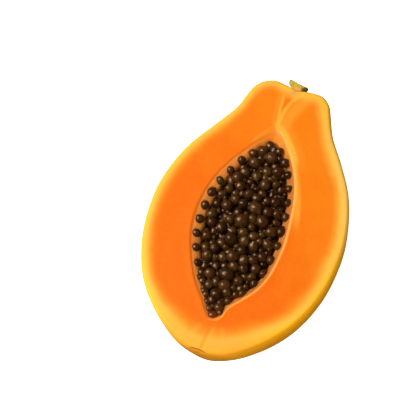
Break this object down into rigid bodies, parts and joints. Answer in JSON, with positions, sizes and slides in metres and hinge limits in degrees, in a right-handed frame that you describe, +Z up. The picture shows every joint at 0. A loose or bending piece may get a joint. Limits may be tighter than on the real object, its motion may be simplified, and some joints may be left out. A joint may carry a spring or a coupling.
{
  "type": "halved papaya",
  "caption": "Half of a ripe papaya cut lengthwise, with orange flesh, its heap of black seeds and a stem stub, lying cut face up.",
  "frame": {"origin": "middle of the half's length and width, on the surface that it rests on", "axes": "+Y towards the stem end, +Z up out of the cut face, +X to the right when the stem points away from the viewer"},
  "size_m": [0.1162, 0.175, 0.0594],
  "materials": {
    "flesh_and_skin": "moist orange flesh with a thin yellow waxy skin",
    "seed_heap": "wet, dark brown",
    "seed": "wet and glossy in a clear jelly coat",
    "stem": "matt, fibrous"
  },
  "bodies": {
    "root": {"papaya_half": "flesh_and_skin", "seed_01": "seed", "seed_02": "seed", "seed_03": "seed", "seed_04": "seed", "seed_05": "seed", "seed_06": "seed", "seed_07": "seed", "seed_08": "seed", "seed_09": "seed", "seed_10": "seed", "seed_11": "seed", "seed_12": "seed", "seed_13": "seed", "seed_14": "seed", "seed_15": "seed", "seed_16": "seed", "seed_17": "seed", "seed_18": "seed", "seed_19": "seed", "seed_20": "seed", "seed_21": "seed", "seed_22": "seed", "seed_23": "seed", "seed_24": "seed", "seed_25": "seed", "seed_26": "seed", "seed_27": "seed", "seed_28": "seed", "seed_29": "seed", "seed_30": "seed", "seed_31": "seed", "seed_32": "seed", "seed_33": "seed", "seed_34": "seed", "seed_35": "seed", "seed_36": "seed", "seed_37": "seed", "seed_38": "seed", "seed_39": "seed", "seed_40": "seed", "seed_41": "seed", "seed_42": "seed", "seed_43": "seed", "seed_44": "seed", "seed_45": "seed", "seed_46": "seed", "seed_47": "seed", "seed_48": "seed", "seed_49": "seed", "seed_50": "seed", "seed_51": "seed", "seed_52": "seed", "seed_53": "seed", "seed_54": "seed", "seed_55": "seed", "seed_56": "seed", "seed_bed": "seed_heap", "stem_stub": "stem"}
  },
  "joints": []
}
